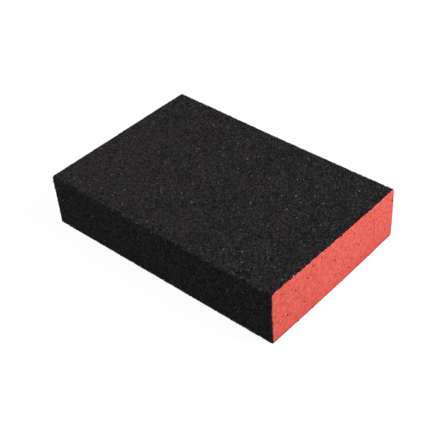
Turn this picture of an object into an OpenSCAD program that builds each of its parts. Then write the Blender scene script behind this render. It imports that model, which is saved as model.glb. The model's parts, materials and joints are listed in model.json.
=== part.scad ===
// Hand sanding sponge: a foam block with an abrasive coat on its four long
// sides. The two short ends are knife cuts and show the bare foam.
//
// X runs along the length, Y across the width and Z up through the thickness.
// The origin is the middle of the underside. Millimetres.

/* [Block] */
// Length along X, between the middles of the two cut ends
block_length = 100; // [70:1:130]
// Width along Y, over the coat
block_width = 68; // [45:1:90]
// Thickness along Z, over the coat
block_thickness = 21.5; // [12:0.5:35]
// Radius of the four long edges, over the coat
edge_radius = 1; // [0.8:0.1:4]
// How far the middle of a cut end stands out past its upright edges
end_bulge = 0.3; // [0.2:0.05:1]

/* [Abrasive coat] */
// Thickness of the grain and its bond on each long side
coat_thickness = 0.25; // [0.2:0.05:0.6]

/* [Open cells in the cut ends] */
// Radius of the smallest cell that the knife opened
cell_radius_min = 0.2; // [0.15:0.01:0.3]
// Radius of the largest cell that the knife opened
cell_radius_max = 0.55; // [0.35:0.05:0.9]
// Distance between neighbouring places where a cell may be
cell_pitch = 3; // [2:0.1:6]
// Share of those places that hold an open cell
cell_share = 0.65; // [0.3:0.05:1]
// Foam left whole between the cells and the coat
cell_rim = 0.6; // [0.3:0.1:2]

/* [Hidden] */
$fn = 48;

foam_colour = [0.91, 0.40, 0.36];
coat_colour = [0.16, 0.15, 0.15];

core_width = block_width - 2 * coat_thickness;
core_thickness = block_thickness - 2 * coat_thickness;
core_radius = edge_radius - coat_thickness;
mid_height = block_thickness / 2;

// The knife leaves each end as a patch of a very large ball.
end_curve_radius = (pow(block_width / 2, 2) + pow(end_bulge, 2)) / (2 * end_bulge);

// Cells keep this far from the outline of the foam, measured to their centres.
cell_margin = cell_radius_max + cell_rim;
// A cell may stray this far from its place without reaching its neighbour.
cell_stray = (cell_pitch - 2 * cell_radius_max) / 2;
cell_columns = floor((core_width - 2 * (cell_margin + cell_stray)) / cell_pitch) + 1;
cell_rows = floor((core_thickness - 2 * (cell_margin + cell_stray)) / cell_pitch) + 1;

// X of the cut surface at a distance y from the middle plane.
function end_x(y) =
    block_length / 2 - end_curve_radius + sqrt(pow(end_curve_radius, 2) - pow(y, 2));

// Small cells are common and large ones rare, so an even share is cubed.
function cell_radius(share) =
    cell_radius_min + (cell_radius_max - cell_radius_min) * pow(share, 3);

// A length of bar with four rounded edges, lying along X about the origin.
module rounded_bar(length, width, thickness, radius) {
    rotate([90, 0, 90])
        linear_extrude(height = length, center = true)
            union() {
                square([width - 2 * radius, thickness], center = true);
                square([width, thickness - 2 * radius], center = true);
                for (side = [-1, 1], level = [-1, 1])
                    translate([side * (width / 2 - radius), level * (thickness / 2 - radius)])
                        circle(r = radius);
            }
}

// Everything between the two bulged knife cuts.
module between_cuts() {
    intersection_for(side = [-1, 1])
        translate([side * (block_length / 2 - end_curve_radius), 0, 0])
            rotate([0, 0, 90])
                sphere(r = end_curve_radius, $fn = 720);
}

// Cells opened by the knife in the end at +X, each a ball cut off by the face.
module open_cells(seed) {
    places = cell_columns * cell_rows;
    chance = rands(0, 1, places, seed);
    size = rands(0, 1, places, seed + 1);
    sink = rands(-0.6, 0.3, places, seed + 2);
    stray_y = rands(-cell_stray, cell_stray, places, seed + 3);
    stray_z = rands(-cell_stray, cell_stray, places, seed + 4);
    for (column = [0 : cell_columns - 1], row = [0 : cell_rows - 1]) {
        place = column * cell_rows + row;
        y = (column - (cell_columns - 1) / 2) * cell_pitch + stray_y[place];
        z = (row - (cell_rows - 1) / 2) * cell_pitch + stray_z[place];
        radius = cell_radius(size[place]);
        if (chance[place] < cell_share)
            translate([end_x(y) + sink[place] * radius, y, z])
                rotate([0, 90, 0])
                    sphere(r = radius, $fn = 20);
    }
}

module foam_core() {
    color(foam_colour)
        translate([0, 0, mid_height])
            difference() {
                intersection() {
                    rounded_bar(block_length + 2, core_width, core_thickness, core_radius);
                    between_cuts();
                }
                open_cells(11);
                rotate([0, 0, 180])
                    open_cells(37);
            }
}

module abrasive_coat() {
    color(coat_colour)
        translate([0, 0, mid_height])
            intersection() {
                difference() {
                    rounded_bar(block_length + 2, block_width, block_thickness, edge_radius);
                    rounded_bar(block_length + 4, core_width, core_thickness, core_radius);
                }
                between_cuts();
            }
}

foam_core();
abrasive_coat();
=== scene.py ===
import json
import math
import random
import bmesh
import bpy
from mathutils import Matrix, Vector

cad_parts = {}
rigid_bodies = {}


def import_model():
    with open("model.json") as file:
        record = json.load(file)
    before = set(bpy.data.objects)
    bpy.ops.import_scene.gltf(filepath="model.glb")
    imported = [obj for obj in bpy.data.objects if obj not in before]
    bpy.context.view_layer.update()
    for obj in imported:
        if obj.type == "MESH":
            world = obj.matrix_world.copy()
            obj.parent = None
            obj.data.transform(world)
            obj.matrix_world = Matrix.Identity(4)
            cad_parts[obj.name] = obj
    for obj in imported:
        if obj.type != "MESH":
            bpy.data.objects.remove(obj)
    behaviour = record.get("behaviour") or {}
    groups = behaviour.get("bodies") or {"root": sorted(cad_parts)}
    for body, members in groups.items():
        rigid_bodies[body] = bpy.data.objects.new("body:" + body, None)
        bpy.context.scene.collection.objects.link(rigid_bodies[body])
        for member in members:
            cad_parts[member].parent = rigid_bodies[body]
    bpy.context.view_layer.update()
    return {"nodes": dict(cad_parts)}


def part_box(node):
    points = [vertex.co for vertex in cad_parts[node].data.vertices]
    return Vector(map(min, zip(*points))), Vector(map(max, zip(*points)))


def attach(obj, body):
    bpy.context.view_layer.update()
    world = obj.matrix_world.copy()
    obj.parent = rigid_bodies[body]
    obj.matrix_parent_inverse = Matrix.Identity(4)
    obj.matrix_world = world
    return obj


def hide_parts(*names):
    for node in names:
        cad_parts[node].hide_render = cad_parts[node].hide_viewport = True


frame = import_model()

lowCorner, highCorner = (Vector(corner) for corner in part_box("abrasive_coat"))
coreLow, coreHigh = (Vector(corner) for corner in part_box("foam_core"))
middle = (lowCorner + highCorner) / 2
blockSize = highCorner - lowCorner
coatDepth = coreLow.z - lowCorner.z      # the grain layer, from its tips down to the foam
mm = 0.001
edgeRadius = 1.0 * mm                    # long edges, over the grain
print("frame loaded, block of", [round(side / mm, 1) for side in blockSize], "mm")


def deselectAll():
    if bpy.context.object and bpy.context.object.mode != "OBJECT":
        bpy.ops.object.mode_set(mode="OBJECT")
    bpy.ops.object.select_all(action="DESELECT")


def makeActive(piece):
    deselectAll()
    piece.select_set(True)
    bpy.context.view_layer.objects.active = piece


def selectInEdit(piece, edgeTest=None, faceTest=None):
    bpy.ops.mesh.select_all(action="DESELECT")
    mesh = bmesh.from_edit_mesh(piece.data)
    for test, items in ((edgeTest, mesh.edges), (faceTest, mesh.faces)):
        if test:
            for item in filter(test, items):
                item.select_set(True)
    bmesh.update_edit_mesh(piece.data)


def selectMode(kind):
    bpy.ops.mesh.select_mode(type=kind)


def edgeSpan(edge):
    return edge.verts[1].co - edge.verts[0].co


def applyAll(piece):
    # everything in the stack, and the cage that pulls the block out of true last
    makeActive(piece)
    caged = piece.modifiers.new("outOfTrue", "LATTICE")
    caged.object = cage
    for modifier in list(piece.modifiers):
        bpy.ops.object.modifier_apply(modifier=modifier.name)


def bakeMap(piece):
    # a plain box map, laid out while the form is still plain
    makeActive(piece)
    bpy.ops.object.mode_set(mode="EDIT")
    bpy.ops.mesh.select_all(action="SELECT")
    piece.data.uv_layers.new(name="OFBake")
    bpy.ops.uv.smart_project(angle_limit=1.15, island_margin=0.01)
    bpy.ops.object.mode_set(mode="OBJECT")


def newNode(tree, kind, values=None, **settings):
    node = tree.nodes.new(kind)
    for name, value in settings.items():
        setattr(node, name, value)
    for name, value in (values or {}).items():
        if isinstance(value, bpy.types.NodeSocket):
            tree.links.new(value, node.inputs[name])
        else:
            node.inputs[name].default_value = value
    return node


def mathNode(tree, operation, *values):
    return newNode(tree, "ShaderNodeMath", dict(enumerate(values)), operation=operation).outputs[0]


def vectorMath(tree, operation, *values, output=0, scale=None):
    sockets = dict(enumerate(values))
    if scale is not None:
        sockets["Scale"] = scale
    return newNode(tree, "ShaderNodeVectorMath", sockets, operation=operation).outputs[output]


def newTree(name, kind, inputs=(), outputs=()):
    tree = bpy.data.node_groups.new(name, kind)
    for inOut, sockets in (("INPUT", inputs), ("OUTPUT", outputs)):
        for socketName, socketType, value in sockets:
            socket = tree.interface.new_socket(socketName, in_out=inOut, socket_type=socketType)
            if value is not None:
                socket.default_value = value
    return tree, tree.nodes.new("NodeGroupInput"), tree.nodes.new("NodeGroupOutput")


geometrySocket = (("Geometry", "NodeSocketGeometry", None),)


unevenness = {
    "bulge": 0.3 * mm,            # how far the middle of a cut end stands out past its corners
    "wave": 0.08 * mm,            # slow wander of the faces and edges
    "waveLength": 34 * mm,
    "knifeWander": 0.12 * mm,     # quicker wander of the cut ends
    "knifeLength": 9 * mm,
    "edgeLoss": (0.0, 0.4 * mm),  # how far the coat has crumbled back from the cut at +X
    "lossNoise": (0.32, 0.66),    # the noise at which it starts to crumble and has lost most
    "lossLength": 1.1 * mm,
    "otherLoss": 0.25,            # the share of that loss at -X
}


def noiseNode(tree, position, length, detail=1.0):
    return newNode(tree, "ShaderNodeTexNoise", {"Vector": position, "Scale": 1 / length, "Detail": detail})


def unevenGroup():
    tree, groupIn, groupOut = newTree("unevenBlock", "GeometryNodeTree", (
        ("Geometry", "NodeSocketGeometry", None), ("Bulge", "NodeSocketFloat", 0.0)), geometrySocket)
    position = newNode(tree, "GeometryNodeInputPosition").outputs[0]
    split = newNode(tree, "ShaderNodeSeparateXYZ", {0: position})
    along = mathNode(tree, "DIVIDE", split.outputs["X"], blockSize.x / 2)
    across = mathNode(tree, "DIVIDE", split.outputs["Y"], blockSize.y / 2)
    upwards = mathNode(tree, "DIVIDE", split.outputs["Z"], blockSize.z)
    wave = noiseNode(tree, position, unevenness["waveLength"])
    wave = newNode(tree, "ShaderNodeSeparateXYZ", {0: vectorMath(
        tree, "MULTIPLY_ADD", wave.outputs["Color"], (2 * unevenness["wave"],) * 3,
        (-unevenness["wave"],) * 3)})
    knife = noiseNode(tree, position, unevenness["knifeLength"]).outputs["Fac"]
    knife = mathNode(tree, "SUBTRACT", knife, 0.5)
    knife = mathNode(tree, "MULTIPLY", knife, 2 * unevenness["knifeWander"])
    bulge = mathNode(tree, "MULTIPLY", mathNode(tree, "MULTIPLY", across, across), groupIn.outputs["Bulge"])
    moveX = mathNode(tree, "MULTIPLY", mathNode(tree, "SUBTRACT", knife, bulge), along)
    # the underside stays flat, with its tips pressed level with the bench
    moveZ = mathNode(tree, "MULTIPLY", wave.outputs["Z"], upwards)
    moveZ = mathNode(tree, "MAXIMUM", moveZ, mathNode(tree, "MULTIPLY", split.outputs["Z"], -1.0))
    move = newNode(tree, "ShaderNodeCombineXYZ", {"X": moveX, "Y": wave.outputs["Y"], "Z": moveZ})
    move = move.outputs[0]
    moved = newNode(tree, "GeometryNodeSetPosition", {"Geometry": groupIn.outputs[0], "Offset": move})
    tree.links.new(moved.outputs[0], groupOut.inputs[0])
    return tree


def edgeLossGroup():
    # how far the coat has crumbled back from the cut at this place
    tree, groupIn, groupOut = newTree("edgeLoss", "GeometryNodeTree", (), (
        ("Loss", "NodeSocketFloat", None),))
    position = newNode(tree, "GeometryNodeInputPosition").outputs[0]
    noise = noiseNode(tree, position, unevenness["lossLength"], 2.0)
    loss = newNode(tree, "ShaderNodeMapRange", {
        "Value": noise.outputs["Fac"],
        "From Min": unevenness["lossNoise"][0], "From Max": unevenness["lossNoise"][1],
        "To Min": unevenness["edgeLoss"][0], "To Max": unevenness["edgeLoss"][1]})
    along = newNode(tree, "ShaderNodeSeparateXYZ", {0: position}).outputs["X"]
    share = newNode(tree, "ShaderNodeMapRange", {"Value": along, "From Min": -mm, "From Max": mm,
                                                 "To Min": unevenness["otherLoss"], "To Max": 1.0})
    loss = mathNode(tree, "MULTIPLY", loss.outputs[0], share.outputs[0])
    tree.links.new(loss, groupOut.inputs[0])
    return tree


uneven = unevenGroup()
edgeLoss = edgeLossGroup()

# how far corners and edge middles are out of true in mm, by the side of X, Y and Z they lie on
outOfTrue = {
    (-1, 1, 1): (-0.05, 0.5, 0.05),
    (-1, -1, 1): (-0.32, -0.25, 0),
    (-1, -1, -1): (0.3, -0.05, 0),
    (-1, 1, -1): (0, 0, 0),
    (1, -1, -1): (0.1, -0.25, 0),
    (1, 1, -1): (-0.2, 0.25, 0),
    (1, 1, 1): (-0.1, -0.07, -0.15),
    (1, -1, 1): (0, 0.15, 0.15),
    (-1, 0, 1): (0.2, 0, 0),
    (0, 1, 1): (0, -0.28, 0),
    (0, -1, 1): (-0.16, -0.36, -0.25),
}


def pullAt(side):
    # between two known places the pull is halfway between theirs
    if side in outOfTrue:
        return Vector(outOfTrue[side]) * mm
    axis = side.index(0)
    ends = [side[:axis] + (end,) + side[axis + 1:] for end in (-1, 1)]
    return (pullAt(ends[0]) + pullAt(ends[1])) / 2


def makeCage():
    # a frame of points round the block, with one more halfway along its length and width
    deselectAll()
    bpy.ops.object.add(type="LATTICE", location=middle)
    cage = bpy.context.object
    cage.name = "cage"
    cage.scale = blockSize
    cage.data.points_u = cage.data.points_v = 3
    for axis in "uvw":
        setattr(cage.data, "interpolation_type_" + axis, "KEY_LINEAR")
    for point in cage.data.points:
        pull = pullAt(tuple(round(2 * value) for value in point.co))
        point.co_deform = Vector(point.co) + Vector([pull[axis] / blockSize[axis] for axis in range(3)])
    return cage


cage = makeCage()


def unevened(tree, geometry, bulge=0.0):
    return newNode(tree, "GeometryNodeGroup", {"Geometry": geometry, "Bulge": bulge},
                   node_tree=uneven).outputs[0]


def useNodes(piece, tree):
    modifier = piece.modifiers.new(tree.name, "NODES")
    modifier.node_group = tree


foam = {
    "gridStep": 0.175 * mm,       # on the cut ends only
    "mergeWithin": 0.07 * mm,
    "standOff": 1.0 * mm,         # the end sheets start this far out and are laid onto the cut faces
    "wrapReach": 2.5 * mm,        # down to the bottom of a cell, and well short of the other end
    "tuck": 0.1 * mm,             # the sheets stop this far inside the foam's outline
    "endDepth": 2.0 * mm,         # what lies this near a cut belongs to its end sheet
    "cellWidth": 0.42 * mm,
    "cellRound": (0.1, 0.6),      # flat bottom and rim of a small cell, as shares of its width
    "cellDepth": 0.07 * mm,
    "cellShadeShare": 0.35,             # how much painted shade darkens the foam in a small cell
    "torn": 0.05 * mm,            # torn cell walls
    "tornLength": 0.9 * mm,
    "tornLevel": 0.6,             # the noise at which they neither stand up nor sink in
    "dark": (0.05 * mm, 0.3 * mm),    # painted shade in an open cell, from none at the first depth to full at the second
    "stain": (0.27 * mm, 0.9 * mm),   # a darker rim along the outline, in full and at all
}


def endSheet(side):
    # one cut end: a fine sheet with its corners drawn in to the round of the long edges
    coreSize = coreHigh - coreLow - 2 * foam["tuck"] * Vector((1, 1, 1))
    across = round(coreSize.y / foam["gridStep"])
    up = round(coreSize.z / foam["gridStep"])
    deselectAll()
    bpy.ops.mesh.primitive_grid_add(
        x_subdivisions=up, y_subdivisions=across, size=1,
        location=(side * (coreHigh.x + foam["standOff"]), middle.y, middle.z),
        rotation=(0, side * math.pi / 2, 0))
    sheet = bpy.context.object
    sheet.scale = (coreSize.z, coreSize.y, 1)
    bpy.ops.object.transform_apply(location=True, rotation=True, scale=True)
    radius = edgeRadius - coatDepth - foam["tuck"]
    inner = Vector((0, coreSize.y / 2 - radius, coreSize.z / 2 - radius))
    for vertex in sheet.data.vertices:
        y, z = vertex.co.y - middle.y, vertex.co.z - middle.z
        past = Vector((0, max(abs(y) - inner.y, 0), max(abs(z) - inner.z, 0)))
        if past.y > 0 and past.z > 0 and past.length > radius:
            past *= radius / past.length
            vertex.co.y = middle.y + math.copysign(inner.y + past.y, y)
            vertex.co.z = middle.z + math.copysign(inner.z + past.z, z)
    return sheet


def foamRelief():
    tree, groupIn, groupOut = newTree("foamRelief", "GeometryNodeTree", geometrySocket, geometrySocket)
    position = newNode(tree, "GeometryNodeInputPosition").outputs[0]
    split = newNode(tree, "ShaderNodeSeparateXYZ", {0: position})
    # depth of the large open cells, measured from the bulged cut
    across = mathNode(tree, "DIVIDE", split.outputs["Y"], blockSize.y / 2)
    cutX = mathNode(tree, "MULTIPLY_ADD", mathNode(tree, "MULTIPLY", across, across), -unevenness["bulge"],
                    blockSize.x / 2)
    depth = mathNode(tree, "SUBTRACT", cutX, mathNode(tree, "ABSOLUTE", split.outputs["X"]))
    onEnd = newNode(tree, "FunctionNodeCompare", {0: depth, 1: foam["endDepth"]}, data_type="FLOAT",
                    operation="LESS_THAN").outputs[0]
    # small cells, each with its own depth
    cells = newNode(tree, "ShaderNodeTexVoronoi", {"Vector": position, "Scale": 1 / foam["cellWidth"]})
    cellKind = newNode(tree, "ShaderNodeSeparateXYZ", {0: cells.outputs["Color"]}).outputs["X"]
    cup = newNode(tree, "ShaderNodeMapRange", {
        "Value": cells.outputs["Distance"],
        "From Min": foam["cellRound"][0], "From Max": foam["cellRound"][1],
        "To Min": 1.0, "To Max": 0.0}, interpolation_type="SMOOTHSTEP")
    cup = mathNode(tree, "MULTIPLY", cup.outputs[0], mathNode(tree, "POWER", cellKind, 2.0))
    torn = noiseNode(tree, position, foam["tornLength"], 4.0)
    torn = mathNode(tree, "SUBTRACT", torn.outputs["Fac"], foam["tornLevel"])
    torn = mathNode(tree, "MULTIPLY", torn, foam["torn"])
    lift = mathNode(tree, "SUBTRACT", torn, mathNode(tree, "MULTIPLY", cup, foam["cellDepth"]))
    outwards = mathNode(tree, "MULTIPLY", mathNode(tree, "SIGN", split.outputs["X"]), lift)
    offset = newNode(tree, "ShaderNodeCombineXYZ", {"X": outwards}).outputs[0]
    # painted shade in the open cells of the cut, darker the deeper they go, and in the small cells
    hollow = newNode(tree, "ShaderNodeMapRange", {"Value": depth, "From Min": foam["dark"][0],
                                                  "From Max": foam["dark"][1]}).outputs[0]
    hollow = mathNode(tree, "MAXIMUM", hollow, mathNode(tree, "MULTIPLY", cup, foam["cellShadeShare"]))
    marked = newNode(tree, "GeometryNodeStoreNamedAttribute", {
        "Geometry": groupIn.outputs[0], "Selection": onEnd, "Name": "hollow", "Value": hollow},
        data_type="FLOAT", domain="POINT").outputs[0]
    # a darker rim along the outline, strongest at the bottom
    fromSide = mathNode(tree, "SUBTRACT", coreHigh.y, mathNode(tree, "ABSOLUTE", split.outputs["Y"]))
    fromFlat = mathNode(tree, "SUBTRACT", (coreHigh.z - coreLow.z) / 2, mathNode(
        tree, "ABSOLUTE", mathNode(tree, "SUBTRACT", split.outputs["Z"], middle.z)))
    inwards = mathNode(tree, "MINIMUM", fromSide, fromFlat)
    stain = newNode(tree, "ShaderNodeMapRange", {
        "Value": inwards, "From Min": foam["stain"][0], "From Max": foam["stain"][1],
        "To Min": 1.0, "To Max": 0.0}).outputs[0]
    height = mathNode(tree, "DIVIDE", split.outputs["Z"], blockSize.z)
    stain = mathNode(tree, "MULTIPLY", stain, mathNode(tree, "SUBTRACT", 1.0, height))
    marked = newNode(tree, "GeometryNodeStoreNamedAttribute", {
        "Geometry": marked, "Name": "stain", "Value": stain}, data_type="FLOAT", domain="POINT").outputs[0]
    place = newNode(tree, "GeometryNodeSetPosition", {
        "Geometry": marked, "Selection": onEnd, "Offset": offset})
    tree.links.new(unevened(tree, place.outputs[0]), groupOut.inputs[0])
    return tree


def makeFoamBlock():
    sheets = [endSheet(side) for side in (-1, 1)]
    deselectAll()
    for sheet in sheets:
        sheet.select_set(True)
    bpy.context.view_layer.objects.active = sheets[0]
    bpy.ops.object.join()
    block = bpy.context.object
    block.name = block.data.name = "foam_block"
    bpy.ops.object.mode_set(mode="EDIT")
    selectMode("EDGE")
    bpy.ops.mesh.select_all(action="SELECT")
    bpy.ops.mesh.remove_doubles(threshold=foam["mergeWithin"])
    # the long sides, with a loop halfway so that they can follow the cage
    selectInEdit(block, edgeTest=lambda edge: edge.is_boundary)
    bpy.ops.mesh.bridge_edge_loops(number_cuts=1)
    bpy.ops.mesh.select_all(action="SELECT")
    bpy.ops.mesh.normals_make_consistent(inside=False)
    bpy.ops.object.mode_set(mode="OBJECT")
    bakeMap(block)
    # lay the end sheets onto the cut faces, down into their open cells
    wrap = block.modifiers.new("ontoCut", "SHRINKWRAP")
    wrap.wrap_method = "PROJECT"
    wrap.target = frame["nodes"]["foam_core"]
    wrap.use_project_x = True
    wrap.use_positive_direction = wrap.use_negative_direction = True
    wrap.project_limit = foam["wrapReach"]
    useNodes(block, foamRelief())
    applyAll(block)
    return block


foamBlock = makeFoamBlock()
print("foam block,", len(foamBlock.data.polygons), "faces")


# the resin and the small grit between the big grains
skin = {
    "below": 0.25 * mm,           # mean surface, under the tips of the grains
    "relief": 0.1 * mm,           # small grit standing up out of the resin
    "overlap": 0.15 * mm,         # the cut edge of the coat reaches this far behind the foam's outline
    "edgeSegments": 5,
    "cuts": ((14, 14), (11, 11), (39,)),          # 15 x 15 spans along X, 12 x 12 along Y, 40 along Z
    "cutAbove": (0.1 * mm, 2.0 * mm, 2.0 * mm),   # only spans longer than this are cut
    "ragged": (1.0 * mm, 0.2 * mm),               # how near the cut it draws back a little, and in full
}


def roundedSleeve(name, below, segments):
    # the four long sides only, with their long edges rounded and the ends open
    size = blockSize - 2 * below * Vector((0, 1, 1))
    deselectAll()
    bpy.ops.mesh.primitive_cube_add(size=1, location=middle)
    sleeve = bpy.context.object
    sleeve.name = sleeve.data.name = name
    sleeve.scale = size
    bpy.ops.object.transform_apply(location=True, rotation=True, scale=True)
    bpy.ops.object.mode_set(mode="EDIT")
    selectMode("EDGE")
    selectInEdit(sleeve, edgeTest=lambda edge: abs(edgeSpan(edge).x) > size.x / 2)
    bpy.ops.mesh.bevel(offset=edgeRadius - below, segments=segments, affect="EDGES", clamp_overlap=False)
    selectMode("FACE")
    selectInEdit(sleeve, faceTest=lambda face: abs(face.normal.x) > 0.9)
    bpy.ops.mesh.delete(type="ONLY_FACE")
    selectMode("EDGE")
    return sleeve


def skinRelief():
    tree, groupIn, groupOut = newTree("skinRelief", "GeometryNodeTree", geometrySocket, geometrySocket)
    position = newNode(tree, "GeometryNodeInputPosition").outputs[0]
    normal = newNode(tree, "GeometryNodeInputNormal").outputs[0]
    grit = newNode(tree, "ShaderNodeTexWhiteNoise", {"Vector": position})
    lift = mathNode(tree, "SUBTRACT", grit.outputs["Value"], 0.5)
    lift = mathNode(tree, "MULTIPLY", lift, skin["relief"])
    offset = vectorMath(tree, "SCALE", normal, scale=lift)
    place = newNode(tree, "GeometryNodeSetPosition", {"Geometry": groupIn.outputs[0], "Offset": offset})
    # the last column of the sheet draws back where the coat has crumbled
    along = newNode(tree, "ShaderNodeSeparateXYZ", {0: position}).outputs["X"]
    nearEnd = newNode(tree, "ShaderNodeMapRange", {"Value": mathNode(tree, "ABSOLUTE", along),
                                                   "From Min": blockSize.x / 2 - skin["ragged"][0],
                                                   "From Max": blockSize.x / 2 - skin["ragged"][1]})
    nearEnd = nearEnd.outputs[0]
    loss = newNode(tree, "GeometryNodeGroup", node_tree=edgeLoss).outputs[0]
    drawn = mathNode(tree, "MULTIPLY", mathNode(tree, "MULTIPLY", nearEnd, loss), -1.0)
    drawn = mathNode(tree, "MULTIPLY", drawn, mathNode(tree, "SIGN", along))
    back = newNode(tree, "ShaderNodeCombineXYZ", {"X": drawn}).outputs[0]
    ragged = newNode(tree, "GeometryNodeSetPosition", {"Geometry": place.outputs[0], "Offset": back})
    tree.links.new(unevened(tree, ragged.outputs[0], unevenness["bulge"]), groupOut.inputs[0])
    return tree


def makeSkin():
    sleeve = roundedSleeve("abrasive_skin", skin["below"], skin["edgeSegments"])
    for axis, least in enumerate(skin["cutAbove"]):
        for cuts in skin["cuts"][axis]:
            selectInEdit(sleeve, edgeTest=lambda edge: abs(edgeSpan(edge)[axis]) > least)
            bpy.ops.mesh.subdivide(number_cuts=cuts)
    bpy.ops.object.mode_set(mode="OBJECT")
    bakeMap(sleeve)
    bpy.ops.object.mode_set(mode="EDIT")
    # the cut edge of the coat: in to the foam at each end, then straight through behind the skin
    selectInEdit(sleeve, edgeTest=lambda edge: edge.is_boundary)
    bpy.ops.mesh.extrude_region_move()
    inner = blockSize - 2 * (coatDepth + skin["overlap"]) * Vector((1, 1, 1))
    outer = blockSize - 2 * skin["below"] * Vector((1, 1, 1))
    bpy.ops.transform.resize(value=(1, inner.y / outer.y, inner.z / outer.z), center_override=middle)
    bpy.ops.mesh.bridge_edge_loops(number_cuts=1)
    bpy.ops.mesh.select_all(action="SELECT")
    bpy.ops.mesh.normals_make_consistent(inside=False)
    bpy.ops.object.mode_set(mode="OBJECT")
    useNodes(sleeve, skinRelief())
    applyAll(sleeve)
    return sleeve


abrasiveSkin = makeSkin()
print("abrasive skin,", len(abrasiveSkin.data.polygons), "faces")


grains = {
    "shapes": 9,
    "radius": 0.27 * mm,
    "pull": 0.55,                 # how far their corners are pulled about, as a share of the radius
    "facesKept": 0.42,
    "spacing": 0.455 * mm,        # least distance between two grains
    "tries": 12,                  # points tried on each square of that side
    "sizes": (0.6, 1.35),
    "below": 0.25 * mm,           # where their middles lie, under the block's own surface
    "levelled": 0.5,              # 1 brings the tips of all sizes level
    "fromCut": 0.08 * mm,         # where no coat has crumbled, their middles come this near the cut
    "edgeSegments": 6,
    "spot": 0.45,                 # the size of a grain on the map, as a share of its true size
    "mapMargin": 1.0 * mm,
    "seed": 5,
}


def makeGrainShapes():
    # angular shards: eight-faced lumps, each pulled out of true in its own way
    shapes = bpy.data.collections.new("grainShapes")
    bpy.context.scene.collection.children.link(shapes)
    for number in range(grains["shapes"]):
        deselectAll()
        bpy.ops.mesh.primitive_ico_sphere_add(subdivisions=1, radius=grains["radius"])
        grain = bpy.context.object
        grain.name = f"grainShape{number}"
        bpy.ops.object.mode_set(mode="EDIT")
        bpy.ops.mesh.select_all(action="SELECT")
        bpy.ops.transform.vertex_random(offset=grains["pull"] * grains["radius"], seed=number + 1)
        bpy.ops.mesh.convex_hull()
        bpy.ops.object.mode_set(mode="OBJECT")
        thin = grain.modifiers.new("fewFaces", "DECIMATE")
        thin.ratio = grains["facesKept"]
        bpy.ops.object.modifier_apply(modifier=thin.name)
        for owner in list(grain.users_collection):
            owner.objects.unlink(grain)
        shapes.objects.link(grain)
    return shapes


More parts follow.
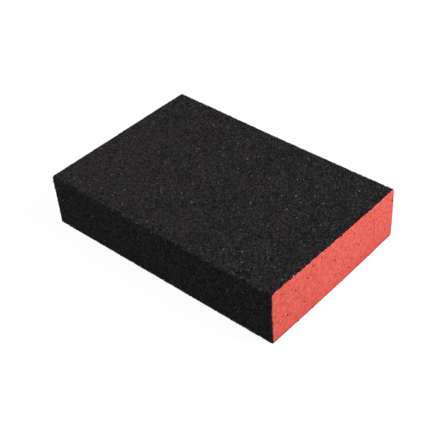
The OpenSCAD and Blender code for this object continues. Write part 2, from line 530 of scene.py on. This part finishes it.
def scatterGrains(shapes, towards, seed):
    tree, groupIn, groupOut = newTree("scatterGrains", "GeometryNodeTree", geometrySocket, geometrySocket)
    normal = newNode(tree, "GeometryNodeInputNormal").outputs[0]
    facing = newNode(tree, "FunctionNodeCompare", {
        0: vectorMath(tree, "DOT_PRODUCT", normal, towards, output="Value"), 1: math.cos(math.pi / 4)},
        data_type="FLOAT", operation="GREATER_THAN").outputs[0]
    points = newNode(tree, "GeometryNodeDistributePointsOnFaces", {
        "Mesh": groupIn.outputs[0], "Selection": facing, "Distance Min": grains["spacing"],
        "Density Max": grains["tries"] / (grains["spacing"] ** 2), "Seed": seed},
        distribute_method="POISSON")
    along = newNode(tree, "ShaderNodeSeparateXYZ", {
        0: newNode(tree, "GeometryNodeInputPosition").outputs[0]}).outputs["X"]
    reach = mathNode(tree, "ADD", mathNode(tree, "ABSOLUTE", along),
                     newNode(tree, "GeometryNodeGroup", node_tree=edgeLoss).outputs[0])
    crumbled = newNode(tree, "FunctionNodeCompare", {0: reach, 1: blockSize.x / 2 - grains["fromCut"]},
                       data_type="FLOAT", operation="GREATER_THAN").outputs[0]
    kept = newNode(tree, "GeometryNodeDeleteGeometry", {
        "Geometry": points.outputs["Points"], "Selection": crumbled}, domain="POINT").outputs[0]
    size = newNode(tree, "FunctionNodeRandomValue", {"Min": grains["sizes"][0], "Max": grains["sizes"][1],
                                                     "Seed": seed + 2}, data_type="FLOAT").outputs[1]
    # larger grains sit deeper, so that the tips come out about level
    sunk = mathNode(tree, "MULTIPLY", mathNode(tree, "SUBTRACT", 1.0, size),
                    grains["radius"] * grains["levelled"])
    sunk = vectorMath(tree, "SCALE", points.outputs["Normal"], scale=sunk)
    kept = newNode(tree, "GeometryNodeSetPosition", {"Geometry": kept, "Offset": sunk}).outputs[0]
    turn = newNode(tree, "FunctionNodeRandomValue", {
        "Min": (0, 0, 0), "Max": (math.tau,) * 3, "Seed": seed + 1}, data_type="FLOAT_VECTOR").outputs[0]
    tone = newNode(tree, "FunctionNodeRandomValue", {"Seed": seed + 3}, data_type="FLOAT")
    kinds = newNode(tree, "GeometryNodeCollectionInfo", {"Collection": shapes, "Separate Children": True,
                                                         "Reset Children": True})
    laid = newNode(tree, "GeometryNodeInstanceOnPoints", {
        "Points": kept, "Instance": kinds.outputs[0], "Pick Instance": True,
        "Rotation": turn, "Scale": size})
    toned = newNode(tree, "GeometryNodeStoreNamedAttribute", {
        "Geometry": laid.outputs[0], "Name": "grainTone", "Value": tone.outputs[1]},
        data_type="FLOAT", domain="INSTANCE")
    position = newNode(tree, "GeometryNodeInputPosition").outputs[0]
    placed = newNode(tree, "GeometryNodeStoreNamedAttribute", {
        "Geometry": toned.outputs[0], "Name": "grainPlace", "Value": position},
        data_type="FLOAT_VECTOR", domain="INSTANCE")
    real = newNode(tree, "GeometryNodeRealizeInstances", {"Geometry": placed.outputs[0]})
    # each grain keeps its own small spot on the map, clear of its neighbours
    grainPlace = newNode(tree, "GeometryNodeInputNamedAttribute", {"Name": "grainPlace"},
                         data_type="FLOAT_VECTOR").outputs[0]
    spot = newNode(tree, "ShaderNodeMix", {0: grains["spot"], 4: grainPlace, 5: position},
                   data_type="VECTOR").outputs[1]
    margin = grains["mapMargin"] * Vector((1, 1, 1))
    spot = newNode(tree, "ShaderNodeMapRange", {
        "Vector": spot, 7: lowCorner - margin, 8: highCorner + margin}, data_type="FLOAT_VECTOR")
    spot = newNode(tree, "ShaderNodeSeparateXYZ", {0: spot.outputs["Vector"]})
    flat = newNode(tree, "ShaderNodeCombineXYZ", {
        "X": spot.outputs["X"], "Y": spot.outputs["Y" if towards[2] else "Z"]}).outputs[0]
    mapped = newNode(tree, "GeometryNodeStoreNamedAttribute", {
        "Geometry": real.outputs[0], "Name": "OFBake", "Value": flat}, data_type="FLOAT2", domain="CORNER")
    tidied = newNode(tree, "GeometryNodeRemoveAttribute", {
        "Geometry": mapped.outputs[0], "Name": "grainPlace"})
    tree.links.new(unevened(tree, tidied.outputs[0], unevenness["bulge"]), groupOut.inputs[0])
    return tree


def makeGrit(name, towards, seed, shapes):
    carrier = roundedSleeve(name, grains["below"], grains["edgeSegments"])
    bpy.ops.object.mode_set(mode="OBJECT")
    useNodes(carrier, scatterGrains(shapes, towards, seed))
    applyAll(carrier)
    return carrier


crumbs = {
    # end, share of the half width, share of the height, size
    "clumps": (
        (1, 0.966, 0.782, 1.8), (1, -0.944, 0.526, 1.0), (-1, -0.909, 0.688, 1.0)),
    "clumpSize": 5,
    "clumpSpread": (0.15 * mm, 0.3 * mm),   # across and up
    # end, share of the half width, then from and to which share of the height
    "smear": (1, -0.987, 0.04, 0.46),
    "smearSize": 56,
    "smearSpread": 0.24 * mm,
    "loose": 9,                   # single grains caught in each cut end
    "looseAcross": (-0.95, 0.95),   # from and to which share of the half width
    "looseUp": (0.05, 0.95),        # and of the height
    "radius": 0.17 * mm,
    "sizes": (0.6, 1.2),
    "pull": 0.5,                  # how far their corners are pulled about, as a share of the radius
    "seed": 8,
}


def crumbPlaces():
    random.seed(crumbs["seed"])
    places = []
    for side, across, up, size in crumbs["clumps"]:
        for number in range(crumbs["clumpSize"]):
            y = across * blockSize.y / 2 + random.uniform(-1, 1) * crumbs["clumpSpread"][0]
            z = up * blockSize.z + random.uniform(-1, 1) * crumbs["clumpSpread"][1]
            places.append((side, y, z, size))
    side, across, low, high = crumbs["smear"]
    for number in range(crumbs["smearSize"]):
        y = across * blockSize.y / 2 + random.uniform(-1, 1) * crumbs["smearSpread"]
        places.append((side, y, random.uniform(low, high) * blockSize.z, 1.0))
    for side in (-1, 1):
        for number in range(crumbs["loose"]):
            y = random.uniform(*crumbs["looseAcross"]) * blockSize.y / 2
            places.append((side, y, random.uniform(*crumbs["looseUp"]) * blockSize.z, 1.0))
    return places


def unevenOnly():
    tree, groupIn, groupOut = newTree("unevenOnly", "GeometryNodeTree", geometrySocket, geometrySocket)
    tree.links.new(unevened(tree, groupIn.outputs[0]), groupOut.inputs[0])
    return tree


def makeCrumbs():
    # grit that the knife dragged off the coat and onto the foam
    pieces = []
    for side, y, z, size in crumbPlaces():
        x = side * (blockSize.x / 2 - unevenness["bulge"] * (2 * y / blockSize.y) ** 2)
        deselectAll()
        radius = size * crumbs["radius"] * random.uniform(*crumbs["sizes"])
        bpy.ops.mesh.primitive_ico_sphere_add(subdivisions=1, radius=radius, location=(x, y, z))
        bpy.ops.object.mode_set(mode="EDIT")
        bpy.ops.transform.vertex_random(offset=crumbs["pull"] * crumbs["radius"], seed=len(pieces))
        bpy.ops.object.mode_set(mode="OBJECT")
        pieces.append(bpy.context.object)
    for crumb in pieces:
        crumb.select_set(True)
    bpy.context.view_layer.objects.active = pieces[0]
    bpy.ops.object.join()
    bpy.ops.object.transform_apply(location=True, rotation=True, scale=True)
    joined = bpy.context.object
    joined.name = joined.data.name = "grit_crumbs"
    bakeMap(joined)
    useNodes(joined, unevenOnly())
    applyAll(joined)
    return joined


grainShapes = makeGrainShapes()
gritSides = {
    "grit_top": (0, 0, 1),
    "grit_bottom": (0, 0, -1),
    "grit_front": (0, -1, 0),
    "grit_back": (0, 1, 0),
}
gritPieces = []
for name, towards in gritSides.items():
    gritPieces.append(makeGrit(name, towards, grains["seed"] + 10 * len(gritPieces), grainShapes))
    print(name, len(gritPieces[-1].data.polygons), "faces")
gritPieces.append(makeCrumbs())
print("grit_crumbs", len(gritPieces[-1].data.polygons), "faces")
for grain in list(grainShapes.objects):
    bpy.data.objects.remove(grain)
bpy.data.collections.remove(grainShapes)
bpy.data.objects.remove(cage)


def newMaterial(name, roughness, specular):
    material = bpy.data.materials.new(name)
    material.use_nodes = True
    shader = material.node_tree.nodes["Principled BSDF"]
    shader.inputs["Roughness"].default_value = roughness
    shader.inputs["Specular IOR Level"].default_value = specular
    return material, material.node_tree, shader


def wear(piece, material):
    piece.data.materials.clear()
    piece.data.materials.append(material)


def mottleGroup():
    # soft blotches with a cell-by-cell change of tone over them
    tree, groupIn, groupOut = newTree("mottle", "ShaderNodeTree", (
        ("Vector", "NodeSocketVector", None), ("Coarse", "NodeSocketFloat", 1.0 * mm),
        ("Fine", "NodeSocketFloat", 0.4 * mm), ("Cells", "NodeSocketFloat", 0.35)),
        (("Tone", "NodeSocketFloat", None),))
    vector = groupIn.outputs["Vector"]
    blotches = newNode(tree, "ShaderNodeTexNoise", {
        "Vector": vector, "Scale": mathNode(tree, "DIVIDE", 1.0, groupIn.outputs["Coarse"]), "Detail": 5.0})
    cells = newNode(tree, "ShaderNodeTexVoronoi", {
        "Vector": vector, "Scale": mathNode(tree, "DIVIDE", 1.0, groupIn.outputs["Fine"])})
    cellTone = newNode(tree, "ShaderNodeSeparateXYZ", {0: cells.outputs["Color"]}).outputs["X"]
    tone = newNode(tree, "ShaderNodeMix", {
        0: groupIn.outputs["Cells"], 2: blotches.outputs["Fac"], 3: cellTone}, data_type="FLOAT").outputs[0]
    tree.links.new(tone, groupOut.inputs["Tone"])
    return tree


mottle = mottleGroup()


def setRamp(ramp, stops):
    elements = ramp.color_ramp.elements
    while len(elements) < len(stops):
        elements.new(0.5)
    for element, (place, colour) in zip(elements, stops):
        element.position = place
        element.color = (*colour, 1)


def toneRamp(tree, tone, look):
    ramp = newNode(tree, "ShaderNodeValToRGB", {"Fac": tone})
    setRamp(ramp, list(zip(look["stops"], (look["deep"], look["middling"], look["pale"]))))
    return ramp.outputs[0]


def mixColour(tree, share, under, over):
    mixed = newNode(tree, "ShaderNodeMix", {0: share, 6: under, 7: (*over, 1)}, data_type="RGBA")
    return mixed.outputs[2]


foamLook = {
    "roughness": 0.85,
    "specular": 0.2,
    "deep": (0.568, 0.064, 0.0505),
    "middling": (0.768, 0.116, 0.0895),
    "pale": (0.886, 0.162, 0.128),
    "stops": (0.28, 0.52, 0.76),  # where those three lie in the mottled tone
    "blotchSize": 1.5 * mm,
    "cellSize": 0.36 * mm,
    "cellShare": 0.3,             # the cells' part in the tone, the blotches have the rest
    "stain": (0.36, 0.028, 0.05),
    "darkRimLevel": 1.3,            # less the tone, so that the darker rim shows most where the foam is deep
    "bottomRed": (0.75, 0.03, 0.03),   # a deeper red at the bottom
    "bottomRedShare": 0.28,
    "bottomRedHeight": 5.0 * mm,       # it has gone by this height
    # the painted shade at the bottom of an open cell
    "hollow": (0.26, 0.02, 0.016),
    "wallSize": 0.24 * mm,        # finest cells, as a bump only
    "bump": 0.6,
    "bumpDepth": 0.05 * mm,
}


def redFoam():
    material, tree, shader = newMaterial("redFoam", foamLook["roughness"], foamLook["specular"])
    coords = newNode(tree, "ShaderNodeTexCoord").outputs["Object"]
    tone = newNode(tree, "ShaderNodeGroup", {
        "Vector": coords, "Coarse": foamLook["blotchSize"], "Fine": foamLook["cellSize"],
        "Cells": foamLook["cellShare"]}, node_tree=mottle).outputs["Tone"]
    mottled = toneRamp(tree, tone, foamLook)
    # a darker rim along the outline, strongest at the bottom
    stain = newNode(tree, "ShaderNodeAttribute", attribute_name="stain").outputs["Fac"]
    stain = mathNode(tree, "MULTIPLY", stain, mathNode(tree, "SUBTRACT", foamLook["darkRimLevel"], tone))
    rimDarkened = mixColour(tree, stain, mottled, foamLook["stain"])
    # a deeper red towards the bottom
    height = newNode(tree, "ShaderNodeSeparateXYZ", {"Vector": coords}).outputs["Z"]
    bottomRedMix = newNode(tree, "ShaderNodeMapRange", {
        "Value": height, "From Min": coreLow.z, "From Max": foamLook["bottomRedHeight"],
        "To Min": foamLook["bottomRedShare"], "To Max": 0.0}).outputs[0]
    bottomRed = mixColour(tree, bottomRedMix, rimDarkened, foamLook["bottomRed"])
    # painted shade: the open cells are darker the deeper they go
    hollow = newNode(tree, "ShaderNodeAttribute", attribute_name="hollow").outputs["Fac"]
    tree.links.new(mixColour(tree, hollow, bottomRed, foamLook["hollow"]), shader.inputs["Base Color"])
    walls = newNode(tree, "ShaderNodeTexVoronoi", {"Vector": coords, "Scale": 1 / foamLook["wallSize"]},
                    feature="DISTANCE_TO_EDGE")
    bump = newNode(tree, "ShaderNodeBump", {
        "Height": walls.outputs["Distance"], "Strength": foamLook["bump"],
        "Distance": foamLook["bumpDepth"]}, invert=True)
    tree.links.new(bump.outputs[0], shader.inputs["Normal"])
    return material


gritLook = {
    "roughness": 0.25,
    "specular": 0.06,
    # the tone of a grain runs evenly from 0 to 1, and each pair gives the grey at one tone; the rarest
    # tones make pale grains, painted in as glints
    "greysAndGlints": ((0.0, 0.001), (0.42, 0.0052), (0.55, 0.0194), (0.95, 0.031), (0.99, 0.038), (1.0, 0.14)),
    "tint": (1.19, 1.0, 1.04),
    "brown": (0.13, 0.065, 0.03),
    "brownAbove": 0.9995,         # grains with a tone above this are brown
}


def blackGrit():
    # near black, with a few pale grains painted in as glints, and the odd brown one
    material, tree, shader = newMaterial("blackGrit", gritLook["roughness"], gritLook["specular"])
    tone = newNode(tree, "ShaderNodeAttribute", attribute_name="grainTone").outputs["Fac"]
    ramp = newNode(tree, "ShaderNodeValToRGB", {"Fac": tone})
    # the grains' own greys, with painted glints on the palest, rarest ones
    setRamp(ramp, [(place, grey * Vector(gritLook["tint"])) for place, grey in gritLook["greysAndGlints"]])
    brown = mathNode(tree, "GREATER_THAN", tone, gritLook["brownAbove"])
    tinted = mixColour(tree, brown, ramp.outputs[0], gritLook["brown"])
    tree.links.new(tinted, shader.inputs["Base Color"])
    return material


bondLook = {
    "roughness": 0.6,
    "specular": 0.06,
    "deep": (0.002, 0.002, 0.002),
    "middling": (0.005, 0.0046, 0.0047),
    "pale": (0.0138, 0.013, 0.013),
    "stops": (0.3, 0.5, 0.7),     # where those three lie in the mottled tone
    "blotchSize": 1.6 * mm,
    "cellSize": 0.3 * mm,
}


def blackBond():
    # the resin between the grains, dull and a little patchy
    material, tree, shader = newMaterial("blackBond", bondLook["roughness"], bondLook["specular"])
    coords = newNode(tree, "ShaderNodeTexCoord").outputs["Object"]
    tone = newNode(tree, "ShaderNodeGroup", {
        "Vector": coords, "Coarse": bondLook["blotchSize"], "Fine": bondLook["cellSize"]},
        node_tree=mottle).outputs["Tone"]
    tree.links.new(toneRamp(tree, tone, bondLook), shader.inputs["Base Color"])
    return material


foamMaterial = redFoam()
gritMaterial = blackGrit()
bondMaterial = blackBond()
wear(foamBlock, foamMaterial)
wear(abrasiveSkin, bondMaterial)
for piece in gritPieces:
    wear(piece, gritMaterial)
print("materials made")


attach(foamBlock, "root")
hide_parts("foam_core")
for piece in [abrasiveSkin] + gritPieces:
    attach(piece, "root")
    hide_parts("abrasive_coat")


studio = {
    "floorSize": 4.0,
    "floorColour": 0.35,          # what it throws back onto the block
    "floorShade": 0.06,           # how much of the floor's white can fall into shadow
    "skyStrength": 0.145,
    # name, place, size, power, colour
    "lamps": (
        ("keyLamp", (0.25, 0.08, 0.3), 0.15, 1.84, (0.94, 1, 1)),
        ("fillLamp", (-0.35, 0.05, 0.25), 0.2, 1.0, (1, 0.88, 0.89)),
        ("highLamp", (0, -0.3, 0.7), 0.3, 1.63, (1, 0.95, 0.9))),
}


def seenDirectly(tree):
    path = newNode(tree, "ShaderNodeLightPath")
    seen = mathNode(tree, "MAXIMUM", path.outputs["Is Camera Ray"], path.outputs["Is Glossy Ray"])
    return mathNode(tree, "MAXIMUM", seen, path.outputs["Is Transmission Ray"])


def makeFloor():
    deselectAll()
    bpy.ops.mesh.primitive_plane_add(size=studio["floorSize"])
    floor = bpy.context.object
    floor.name = "floor"
    material = bpy.data.materials.new("paleFloor")
    material.use_nodes = True
    tree = material.node_tree
    tree.nodes.remove(tree.nodes["Principled BSDF"])
    shade = studio["floorShade"]
    bounce = newNode(tree, "ShaderNodeBsdfDiffuse", {"Color": (studio["floorColour"],) * 3 + (1,)})
    shaded = newNode(tree, "ShaderNodeBsdfDiffuse", {"Color": (shade, shade, shade, 1)})
    glow = newNode(tree, "ShaderNodeEmission", {"Strength": 1 - shade})
    pale = newNode(tree, "ShaderNodeAddShader", {0: shaded.outputs[0], 1: glow.outputs[0]})
    mixed = newNode(tree, "ShaderNodeMixShader", {0: seenDirectly(tree), 1: bounce.outputs[0],
                                                  2: pale.outputs[0]})
    tree.links.new(mixed.outputs[0], tree.nodes["Material Output"].inputs[0])
    wear(floor, material)


def makeWorld():
    world = bpy.context.scene.world or bpy.data.worlds.new("world")
    bpy.context.scene.world = world
    world.use_nodes = True
    tree = world.node_tree
    background = tree.nodes["Background"]
    background.inputs["Color"].default_value = (1, 1, 1, 1)
    strength = newNode(tree, "ShaderNodeMapRange", {
        "Value": seenDirectly(tree), "To Min": studio["skyStrength"], "To Max": 1.0})
    tree.links.new(strength.outputs[0], background.inputs["Strength"])


def makeLamp(name, place, size, power, colour):
    deselectAll()
    bpy.ops.object.light_add(type="AREA", location=place)
    lamp = bpy.context.object
    lamp.name = name
    lamp.data.size = size
    lamp.data.energy = power
    lamp.data.color = colour
    lamp.rotation_euler = (Vector(place) - middle).to_track_quat("Z", "Y").to_euler()


makeFloor()
makeWorld()
for lamp in studio["lamps"]:
    makeLamp(*lamp)
print("studio lit")


view = {
    "azimuth": 42.68,
    "elevation": 39.74,
    "roll": -3.1,
    "distance": 361 * mm,
    "aside": 0.5 * mm,
    "raised": -6.3 * mm,
    "lens": 81.7,
    "sensor": 36,
}


def makeCamera():
    azimuth, elevation, roll = (math.radians(view[key]) for key in ("azimuth", "elevation", "roll"))
    back = Vector((math.sin(azimuth) * math.cos(elevation), -math.cos(azimuth) * math.cos(elevation),
                   math.sin(elevation)))
    right = (-back).cross(Vector((0, 0, 1))).normalized()
    up = right.cross(-back)
    turnedRight = math.cos(roll) * right + math.sin(roll) * up
    turnedUp = -math.sin(roll) * right + math.cos(roll) * up
    place = middle + back * view["distance"] + turnedRight * view["aside"] + turnedUp * view["raised"]
    bpy.ops.object.camera_add(location=place)
    camera = bpy.context.object
    camera.rotation_euler = Matrix((turnedRight, turnedUp, back)).transposed().to_euler()
    camera.data.lens = view["lens"]
    camera.data.sensor_width = view["sensor"]
    camera.data.clip_start = 0.01
    bpy.context.scene.camera = camera


makeCamera()
bpy.context.scene.view_settings.view_transform = "Standard"
